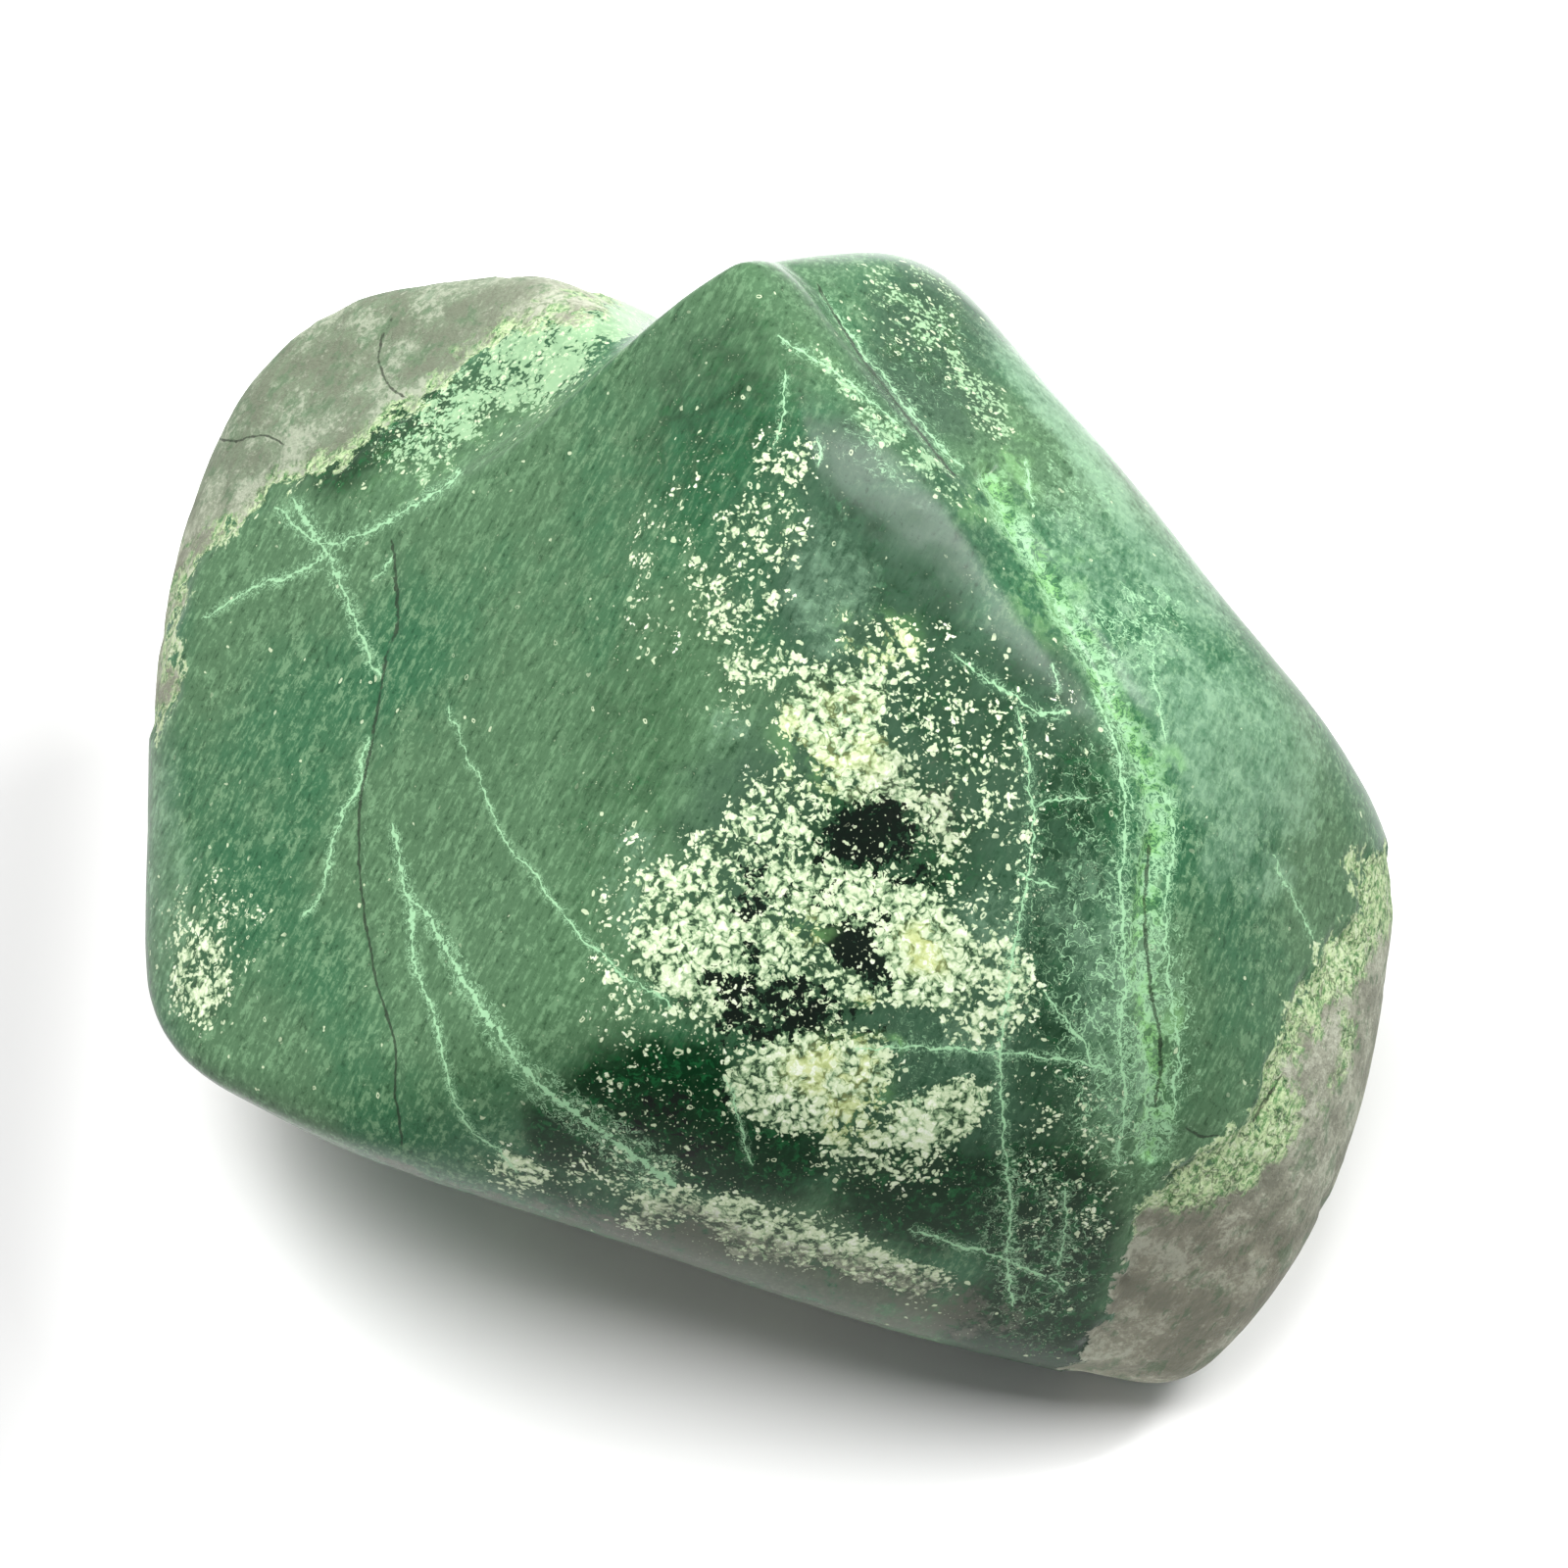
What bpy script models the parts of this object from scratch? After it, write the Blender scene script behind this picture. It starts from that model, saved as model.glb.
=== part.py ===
"""A raw jade boulder: one water-worn stone, ground and polished on its front, resting on a flat ground face.

The stone is solved from its faces. Each face is a shallow dome, given by the way it looks, how far it
lies from the stone's heart, how much it bulges and how softly it rolls into the faces listed before it.
Crown and flank meet in a groove, and the peak's faces close both behind. The shoulder is blended on to
that peak, and the girdle faces then trim the whole. Lengths in the tables are in millimetres; the mesh
is in metres.
"""
import bpy
import bmesh
import numpy as np

MILLIMETRE = 0.001
HEART_HEIGHT = 41.0            # mm, the stone's heart above the ground rest face
CELLS_PER_EDGE = 27            # each cube edge of the ball of directions is cut into this many cells
LARGEST_RADIUS = 110.0         # mm, farther from the heart than any point of the stone
HALVINGS = 34                  # steps of the search for the skin, enough for 1e-8 mm
GROOVE_EASE = 1.0              # mm, width of the groove between crown and flank
SHOULDER_EASE = 4.0            # mm, width of the valley between the peak and the shoulder
REST_EASE = 3.0                # mm, how softly the sides roll under into the rest face
REST_FLATNESS = 0.01 * MILLIMETRE    # points this near the rest face are laid dead flat on it
SWELL_HEIGHT = 0.15            # mm, each of three slow waves that stop the faces looking machined
SWELL_PITCH = 31.0             # mm, their wavelength
SWELL_WAVES = (((0.8, 0.3, 0.5), 1.0), ((-0.4, 0.9, 0.2), 2.5), ((0.1, -0.5, 0.85), 4.0))

# name: (azimuth deg, 0 front and 90 right; tilt above level, deg; reach mm; bulge radius mm; ease mm)
CROWN = {
    "strip": (97, 61, 45, 600, 0),
    "stripEnd": (119, 18, 31, 400, 3),
}
FLANK = {
    "terrace": (100, 60, 43, 400, 0),
}
PEAK = {
    "ridgeBack": (223, 24, 42.5, 600, 2),
    "back": (187, 33, 53, 600, 6),
}
SHOULDER = {
    "shelf": (267, 63, 38.2, 6000, 0),
    "back": (178, 35, 54.8, 400, 4),
    "backLeft": (214, 29, 74, 200, 5),
    "rightEnd": (118, 35, 22, 300, 5),
}
GIRDLE = {
    "left": (287, 52, 38, 900, 1),
    "front": (12, 60, 40, 400, 8),
    "right": (64, 37, 50, 300, 4),
    "frontLow": (10, 30, 48.6, 200, 6),
    "frontWall": (351, 4, 52, 300, 8),
    "rindRight": (38, 19, 61, 300, 5),
    "leftUpper": (248, 12, 84, 200, 2),
    "leftEnd": (278, -2, 73.5, 300, 7),
    "underFront": (337, -33, 48, 900, 4),
    "rightLow": (66, -13, 75, 250, 10),
    "rightEnd": (88, -2, 65.3, 150, 8),
    "topRight": (123, 21, 46.5, 3000, 6),
    "underLeft": (262, -40, 65, 150, 14),
    "underRight": (80, -40, 70, 150, 8),
    "underBack": (185, -35, 58, 150, 12),
}
JADE = {"colour": (0.10, 0.20, 0.12, 1.0), "roughness": 0.3, "metallic": 0.0}


def softMax(a, b, ease):
    """The larger of two distances, rounded over where they are within ease of each other."""
    if ease == 0:
        return np.maximum(a, b)
    return np.maximum(a, b) + np.maximum(ease - np.abs(a - b), 0) ** 2 / (4 * ease)


def softMin(a, b, ease):
    """The smaller of two distances, rounded in the same way."""
    return -softMax(-a, -b, ease)


def faceDistance(points, azimuth, tilt, reach, bulge):
    """How far each point lies outside a shallow domed face, in mm."""
    azimuth, tilt = np.radians(azimuth), np.radians(tilt)
    outward = np.array([np.cos(tilt) * np.sin(azimuth), -np.cos(tilt) * np.cos(azimuth), np.sin(tilt)])
    return np.linalg.norm(points - outward * (reach - bulge), axis=-1) - bulge


def trimmed(points, faces, distance=None):
    """Distance outside the space that a table of faces leaves, each eased into those before it."""
    for azimuth, tilt, reach, bulge, ease in faces.values():
        outside = faceDistance(points, azimuth, tilt, reach, bulge)
        distance = outside if distance is None else softMax(distance, outside, ease)
    return distance


def stoneDistance(points):
    """How far each point lies outside the whole stone, in mm from its heart."""
    peak = softMin(trimmed(points, CROWN), trimmed(points, FLANK), GROOVE_EASE)
    peak = trimmed(points, PEAK, peak)
    distance = softMin(peak, trimmed(points, SHOULDER), SHOULDER_EASE)
    distance = trimmed(points, GIRDLE, distance)
    for heading, phase in SWELL_WAVES:
        travelled = points @ np.array(heading) / SWELL_PITCH
        distance = distance + SWELL_HEIGHT * np.sin(2 * np.pi * travelled + phase)
    return softMax(distance, -points[..., 2] - HEART_HEIGHT, REST_EASE)


def skinPoints(directions):
    """The point of the skin along each direction from the heart, found by halving the radius's range."""
    inside = np.zeros(len(directions))
    outside = np.full(len(directions), LARGEST_RADIUS)
    for _ in range(HALVINGS):
        middle = (inside + outside) / 2
        beyond = stoneDistance(directions * middle[:, None]) > 0
        outside = np.where(beyond, middle, outside)
        inside = np.where(beyond, inside, middle)
    return directions * ((inside + outside) / 2)[:, None]


def ballOfDirections(mesh, cells):
    """A cube cut into square cells and blown up to a unit ball, so that its cells stay nearly even."""
    bmesh.ops.create_cube(mesh, size=2.0)
    bmesh.ops.subdivide_edges(mesh, edges=mesh.edges[:], cuts=cells - 1, use_grid_fill=True)
    corners = np.array([vertex.co for vertex in mesh.verts])
    corners = np.tan(corners * np.pi / 4)
    return corners / np.linalg.norm(corners, axis=1)[:, None]


def stoneMesh(name):
    """The closed skin of the stone, in metres, with the middle of its box's underside at the origin."""
    mesh = bmesh.new()
    points = skinPoints(ballOfDirections(mesh, CELLS_PER_EDGE))
    middle = (points.min(axis=0) + points.max(axis=0)) / 2
    points = (points - [middle[0], middle[1], -HEART_HEIGHT]) * MILLIMETRE
    points[:, 2] = np.where(points[:, 2] < REST_FLATNESS, 0, points[:, 2])
    for vertex, point in zip(mesh.verts, points):
        vertex.co = point
    bmesh.ops.triangulate(mesh, faces=mesh.faces[:], quad_method="SHORT_EDGE")
    skin = bpy.data.meshes.new(name)
    mesh.to_mesh(skin)
    mesh.free()
    skin.shade_smooth()
    return skin


def jadeMaterial():
    """Polished dark green nephrite."""
    material = bpy.data.materials.new("jade")
    material.use_nodes = True
    shader = material.node_tree.nodes["Principled BSDF"]
    shader.inputs["Base Color"].default_value = JADE["colour"]
    shader.inputs["Roughness"].default_value = JADE["roughness"]
    shader.inputs["Metallic"].default_value = JADE["metallic"]
    return material


def buildBoulder():
    """One stone, so one object."""
    skin = stoneMesh("jade_boulder")
    skin.materials.append(jadeMaterial())
    boulder = bpy.data.objects.new("jade_boulder", skin)
    bpy.context.scene.collection.objects.link(boulder)


for old in list(bpy.data.objects):
    bpy.data.objects.remove(old, do_unlink=True)
buildBoulder()
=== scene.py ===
import bpy
import numpy as np
from mathutils import Matrix, Vector


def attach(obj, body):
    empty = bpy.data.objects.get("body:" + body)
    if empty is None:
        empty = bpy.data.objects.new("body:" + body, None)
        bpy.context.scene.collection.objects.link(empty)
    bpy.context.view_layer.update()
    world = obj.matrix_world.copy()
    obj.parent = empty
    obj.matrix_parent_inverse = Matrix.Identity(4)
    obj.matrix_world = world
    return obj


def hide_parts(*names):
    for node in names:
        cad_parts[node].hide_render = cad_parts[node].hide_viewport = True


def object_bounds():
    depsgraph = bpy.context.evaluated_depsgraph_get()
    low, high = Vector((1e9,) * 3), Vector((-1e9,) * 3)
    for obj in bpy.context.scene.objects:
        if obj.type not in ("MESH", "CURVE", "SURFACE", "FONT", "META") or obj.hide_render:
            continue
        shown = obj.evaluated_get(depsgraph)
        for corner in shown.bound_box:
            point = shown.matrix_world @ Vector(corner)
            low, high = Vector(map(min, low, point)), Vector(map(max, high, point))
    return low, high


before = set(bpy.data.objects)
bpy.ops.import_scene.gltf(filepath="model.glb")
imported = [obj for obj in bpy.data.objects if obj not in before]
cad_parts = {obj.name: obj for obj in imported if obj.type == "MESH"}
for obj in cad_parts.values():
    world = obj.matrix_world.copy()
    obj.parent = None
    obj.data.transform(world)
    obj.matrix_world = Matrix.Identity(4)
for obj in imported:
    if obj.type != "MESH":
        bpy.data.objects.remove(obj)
cadBox = [list(corner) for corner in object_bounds()]
mm = 0.001
print("frame loaded")

# the camera looks down on the stone's heart; x is its right, y its up and z points back to it
view = {"elevation": 55, "distance": 400.0, "lens": 90, "sensor": 36, "imageSize": 1600}
elevation = np.radians(view["elevation"])
viewAxes = np.array([(1, 0, 0),
                     (0, np.sin(elevation), np.cos(elevation)),
                     (0, -np.cos(elevation), np.sin(elevation))])
mmPerPixel = view["distance"] * view["sensor"] / view["lens"] / view["imageSize"]


def toPixels(points):    # where points, in mm from the heart, lie in the view
    seen = points @ viewAxes.T
    scale = view["distance"] / (view["distance"] - seen[:, 2]) / mmPerPixel
    middle = view["imageSize"] / 2
    return np.stack([middle + seen[:, 0] * scale, middle - seen[:, 1] * scale], axis=1)


# each face: azimuth (0 front, 90 right), tilt above level, reach mm, bulge radius mm, ease mm
form = {
    "heartHeight": 41.0, "grooveEase": 1.0, "shoulderEase": 4.0, "restEase": 3.0,
    "swell": 0.15, "swellPitch": 31.0, "largestRadius": 110.0, "halvings": 30,
    "cellsPerEdge": 128, "lean": 0.4,
    "crown": {"strip": (97, 61, 45, 600, 0), "stripEnd": (119, 18, 31, 400, 3)},
    "flank": {"terrace": (100, 60, 43, 400, 0)},
    "peak": {"ridgeBack": (223, 24, 42.5, 600, 2), "back": (187, 33, 53, 600, 6)},
    "shoulder": {"shelf": (267, 63, 38.2, 6000, 0), "back": (178, 35, 54.8, 400, 4),
                 "backLeft": (214, 29, 74, 200, 5), "rightEnd": (118, 35, 22, 300, 5)},
    "girdle": {"left": (287, 52, 38, 900, 1), "front": (12, 60, 40, 400, 8), "right": (64, 37, 50, 300, 4),
               "frontLow": (10, 30, 48.6, 200, 6), "frontWall": (351, 4, 52, 300, 8),
               "rindRight": (38, 19, 61, 300, 5),
               "leftUpper": (248, 12, 84, 200, 2), "leftEnd": (278, -2, 73.5, 300, 7),
               "underFront": (337, -33, 48, 900, 4), "rightLow": (66, -13, 75, 250, 10),
               "rightEnd": (88, -2, 65.3, 150, 8), "topRight": (123, 21, 46.5, 3000, 6),
               "underLeft": (262, -40, 65, 150, 14), "underRight": (80, -40, 70, 150, 8),
               "underBack": (185, -35, 58, 150, 12)},
}
swellWaves = (((0.8, 0.3, 0.5), 1.0), ((-0.4, 0.9, 0.2), 2.5), ((0.1, -0.5, 0.85), 4.0))


def softMax(a, b, ease):    # the larger distance, rounded over where both are within ease
    return np.maximum(a, b) + (np.maximum(ease - np.abs(a - b), 0) ** 2 / (4 * ease) if ease else 0)


def softMin(a, b, ease):
    return -softMax(-a, -b, ease)


def trimmed(points, faces, distance=None):    # distance outside a table of shallow domes, each eased in
    for azimuth, tilt, reach, bulge, ease in faces.values():
        azimuth, tilt = np.radians(azimuth), np.radians(tilt)
        outward = np.array([np.cos(tilt) * np.sin(azimuth), -np.cos(tilt) * np.cos(azimuth), np.sin(tilt)])
        outside = np.linalg.norm(points - outward * (reach - bulge), axis=1) - bulge
        distance = outside if distance is None else softMax(distance, outside, ease)
    return distance


def stoneDistance(points):    # crown and flank meet in a groove, the peak closes them, the girdle trims all
    peak = softMin(trimmed(points, form["crown"]), trimmed(points, form["flank"]), form["grooveEase"])
    peak = trimmed(points, form["peak"], peak)
    distance = softMin(peak, trimmed(points, form["shoulder"]), form["shoulderEase"])
    distance = trimmed(points, form["girdle"], distance)
    for heading, phase in swellWaves:
        travelled = points @ np.array(heading) / form["swellPitch"]
        distance = distance + form["swell"] * np.sin(2 * np.pi * travelled + phase)
    return softMax(distance, -points[:, 2] - form["heartHeight"], form["restEase"])


def ballGrid(cells):
    # a cube's six sides as lattices of two parameters, shared rims merged by their lattice place,
    # with tangent spacing so that the cells stay alike when the cube is blown up to a ball
    u, v = np.meshgrid(np.arange(cells + 1), np.arange(cells + 1), indexing="ij")
    low, high = np.zeros_like(u), np.full_like(u, cells)
    sides = [(u, v, high), (v, u, low), (high, u, v), (low, v, u), (v, high, u), (u, low, v)]
    lattice = np.concatenate([np.stack(side, axis=-1).reshape(-1, 3) for side in sides])
    corner = (np.arange(cells)[:, None] * (cells + 1) + np.arange(cells)).ravel()
    quad = np.stack([corner, corner + cells + 1, corner + cells + 2, corner + 1], axis=1)
    quads = np.concatenate([quad + side * (cells + 1) ** 2 for side in range(6)])
    places, merged = np.unique(lattice, axis=0, return_inverse=True)
    cube = np.tan((places / cells * 2 - 1) * np.pi / 4)
    return cube / np.linalg.norm(cube, axis=1)[:, None], merged.reshape(-1)[quads]


def solvedRadius(directions):    # the skin along each direction from the heart, by halving the range
    inside, outside = np.zeros(len(directions)), np.full(len(directions), form["largestRadius"])
    for _ in range(form["halvings"]):
        middle = (inside + outside) / 2
        beyond = stoneDistance(directions * middle[:, None]) > 0
        outside, inside = np.where(beyond, middle, outside), np.where(beyond, inside, middle)
    return (inside + outside) / 2


def skinNormals(points, reach=0.4):    # the distance's slope in x, y and z, by differences
    slope = np.stack([stoneDistance(points + step) - stoneDistance(points - step)
                      for step in np.eye(3) * reach], axis=1)
    return slope / np.linalg.norm(slope, axis=1)[:, None]


directions, quads = ballGrid(form["cellsPerEdge"])
directions = directions + form["lean"] * viewAxes[2]    # more of the grid on the polished side
directions = directions / np.linalg.norm(directions, axis=1)[:, None]
smooth = directions * solvedRadius(directions)[:, None]
normals = skinNormals(smooth)
heart = -(smooth.min(axis=0) + smooth.max(axis=0)) / 2
heart[2] = form["heartHeight"]
pixels = toPixels(smooth)
print("stone solved:", len(smooth), "points, size", np.round(np.ptp(smooth, axis=0), 1), "mm")


def smoothStep(value, low, high):    # 0 below low, 1 above high, eased between
    t = np.clip((value - low) / (high - low), 0, 1)
    return t * t * (3 - 2 * t)


latticeCells = 32    # the noise repeats after this many cells


def latticeNoise(points, size, seed):
    # random heights on a wrapped cubic lattice of the given cell size, eased and blended between its
    # eight corners, from -1 to 1
    heights = np.random.default_rng(seed).uniform(-1, 1, (latticeCells,) * 3)
    cell = np.floor(points / size).astype(int)
    t = points / size - cell
    t = t * t * (3 - 2 * t)
    total = 0
    for corner in np.ndindex(2, 2, 2):
        share = np.prod(np.where(np.array(corner) == 1, t, 1 - t), axis=1)
        total = total + share * heights[tuple(((cell + corner) % latticeCells).T)]
    return total


def cloud(points, size, seed, octaves=3):    # lattice noise summed, each octave half the size and height
    return sum(latticeNoise(points, size / 2 ** k, seed + k) / 2 ** k for k in range(octaves))


def curve(points, perSpan=5):
    # a Catmull-Rom curve through the points, whose ends are held by mirrored neighbours
    p = np.array(points, float)
    p = np.concatenate([[2 * p[0] - p[1]], p, [2 * p[-1] - p[-2]]])
    t = (np.arange(perSpan) / perSpan)[None, :, None]
    a, b, c, d = (p[k:len(p) - 3 + k, None] for k in range(4))
    bend = (2 * b + (c - a) * t + (2 * a - 5 * b + 4 * c - d) * t ** 2
            + (3 * b - a - 3 * c + d) * t ** 3) / 2
    return np.concatenate([bend.reshape(-1, 2), p[-2:-1]])


def toPath(places, path):
    # signed distance to the nearest stretch of a path, left of its heading positive,
    # with the way along it and the way left to its end
    start, stretch = path[:-1], np.diff(path, axis=0)
    length = np.linalg.norm(stretch, axis=1)
    offset = places[:, None] - start
    along = np.clip((offset * stretch).sum(2) / length ** 2, 0, 1)
    apart = offset - along[..., None] * stretch
    nearest = np.argmin((apart ** 2).sum(2), axis=1)
    row = np.arange(len(places))
    across = apart[row, nearest]
    side = np.sign(stretch[nearest, 0] * across[:, 1] - stretch[nearest, 1] * across[:, 0])
    travelled = (np.cumsum(length) - length)[nearest] + along[row, nearest] * length[nearest]
    return np.linalg.norm(across, axis=1) * np.where(side == 0, 1, side), travelled, length.sum() - travelled


def insideOutline(places, outline):    # counts how many of the outline's edges lie to the right of a place
    a, b = outline, np.roll(outline, -1, axis=0)
    x, y = places[:, :1], places[:, 1:]
    spans = (a[:, 1] > y) != (b[:, 1] > y)
    rise = np.where(a[:, 1] == b[:, 1], 1, b[:, 1] - a[:, 1])
    meets = x < (b[:, 0] - a[:, 0]) * (y - a[:, 1]) / rise + a[:, 0]
    return (spans & meets).sum(axis=1) % 2 == 1


def outlineDistance(places, outline):    # in mm, positive inside a closed outline of view places
    outline = np.array(outline, float)
    away = np.abs(toPath(places, np.concatenate([outline, outline[:1]]))[0]) * mmPerPixel
    return np.where(insideOutline(places, outline), away, -away)


# the clouds that shape the marks and the relief: size of the broadest lumps in mm, seed, octaves
clouds = {
    "limit": (12, 151, 3), "wanderAcross": (9, 11, 3), "wanderDown": (9, 31, 3), "backCrust": (26, 51, 3),
    "backCrustEdge": (8, 161, 3), "band": (7, 41, 3), "drift": (18, 131, 2), "farVein": (34, 141, 3),
    "mottle": (3.4, 171, 3), "rindEdge": (3, 71, 3), "finePits": (2.4, 81, 3), "broadPits": (7, 91, 3),
    "polish": (5, 61, 3),
}
# how the marks are laid on; lengths are in mm unless they are named pixels
placing = {
    "limitFacing": (-0.24, -0.06), "limitRag": 0.12,    # how far round the back they end, how raggedly
    "wanderPixels": 14, "patchEdge": (1.45, 0.55),    # borders' wander, radii where a spot starts and is full
    "noCrust": -30.0, "crustReach": 12,    # the distance where there is no crust, the largest one kept
    "backCrust": (9, 2, 3), "backSlope": 0.03,    # both clouds' heights at the back, how far crust spreads
    "band": 1.5, "bandOff": 3, "bandRag": 0.5,    # the cream band at the back, how far under nought it ends
    "veinPixels": 60, "veinFacing": -0.25,    # how far around a path its points are looked for
    "veinTaper": 1.2, "veinSpan": (5.0, 2.5), "noVein": 20.0,    # tapered ends, reach to each side, none
}


def lumps(name):
    return cloud(smooth, *clouds[name])


# how much of each mark a point takes: all of it where it faces the camera, then it ends in a ragged
# border some way round the back
facing = normals @ viewAxes[2]
seen = smoothStep(facing + placing["limitRag"] * lumps("limit"), *placing["limitFacing"])
wander = np.stack([lumps("wanderAcross"), lumps("wanderDown")], axis=1)
wandered = pixels + wander * placing["wanderPixels"]
marks = {}

# outlines of the grey crust in pixels of the view, the width in mm of the cream band inside each, and the
# pixel heights between which the band thins out
crust = {
    "shelf": {"band": 1.2, "bandEnds": (760, 800), "outline": [
        (60, 180), (720, 180), (655, 296), (610, 308), (560, 322), (500, 345), (432, 392), (406, 412),
        (348, 463), (294, 499), (272, 532), (208, 568), (186, 600), (176, 640), (168, 700), (150, 745),
        (60, 760)]},
    "right": {"band": 5.0, "bandEnds": (1220, 1310), "outline": [
        (1500, 850), (1395, 862), (1383, 880), (1380, 932), (1354, 968), (1329, 1026), (1307, 1063),
        (1285, 1114), (1278, 1157), (1227, 1186), (1191, 1215), (1157, 1259), (1146, 1310), (1132, 1356),
        (1105, 1385), (1080, 1460), (1400, 1500), (1560, 1200)]},
}
crustDistance = np.full(len(smooth), placing["noCrust"])
bandWidth = np.full(len(smooth), placing["band"])
for patch in crust.values():
    reach = outlineDistance(wandered, patch["outline"])
    thinned = smoothStep(wandered[:, 1], *patch["bandEnds"])
    width = patch["band"] - (patch["band"] + placing["bandOff"]) * thinned
    bandWidth = np.where(reach > crustDistance, width, bandWidth)
    crustDistance = np.maximum(crustDistance, reach)
# crust on the sides that face away
broad, ragged, spread = placing["backCrust"]
behind = lumps("backCrust") * broad + lumps("backCrustEdge") * ragged + spread
behind = behind + smooth[:, 1] * placing["backSlope"]
limits = -placing["crustReach"], placing["crustReach"]
marks["crust"] = np.clip(crustDistance, *limits) * seen + np.clip(behind, *limits) * (1 - seen)
marks["band"] = bandWidth * (1 + placing["bandRag"] * lumps("band"))
marks["hidden"] = 1 - seen
for name in ("drift", "farVein", "mottle"):
    marks[name] = lumps(name)

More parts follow.
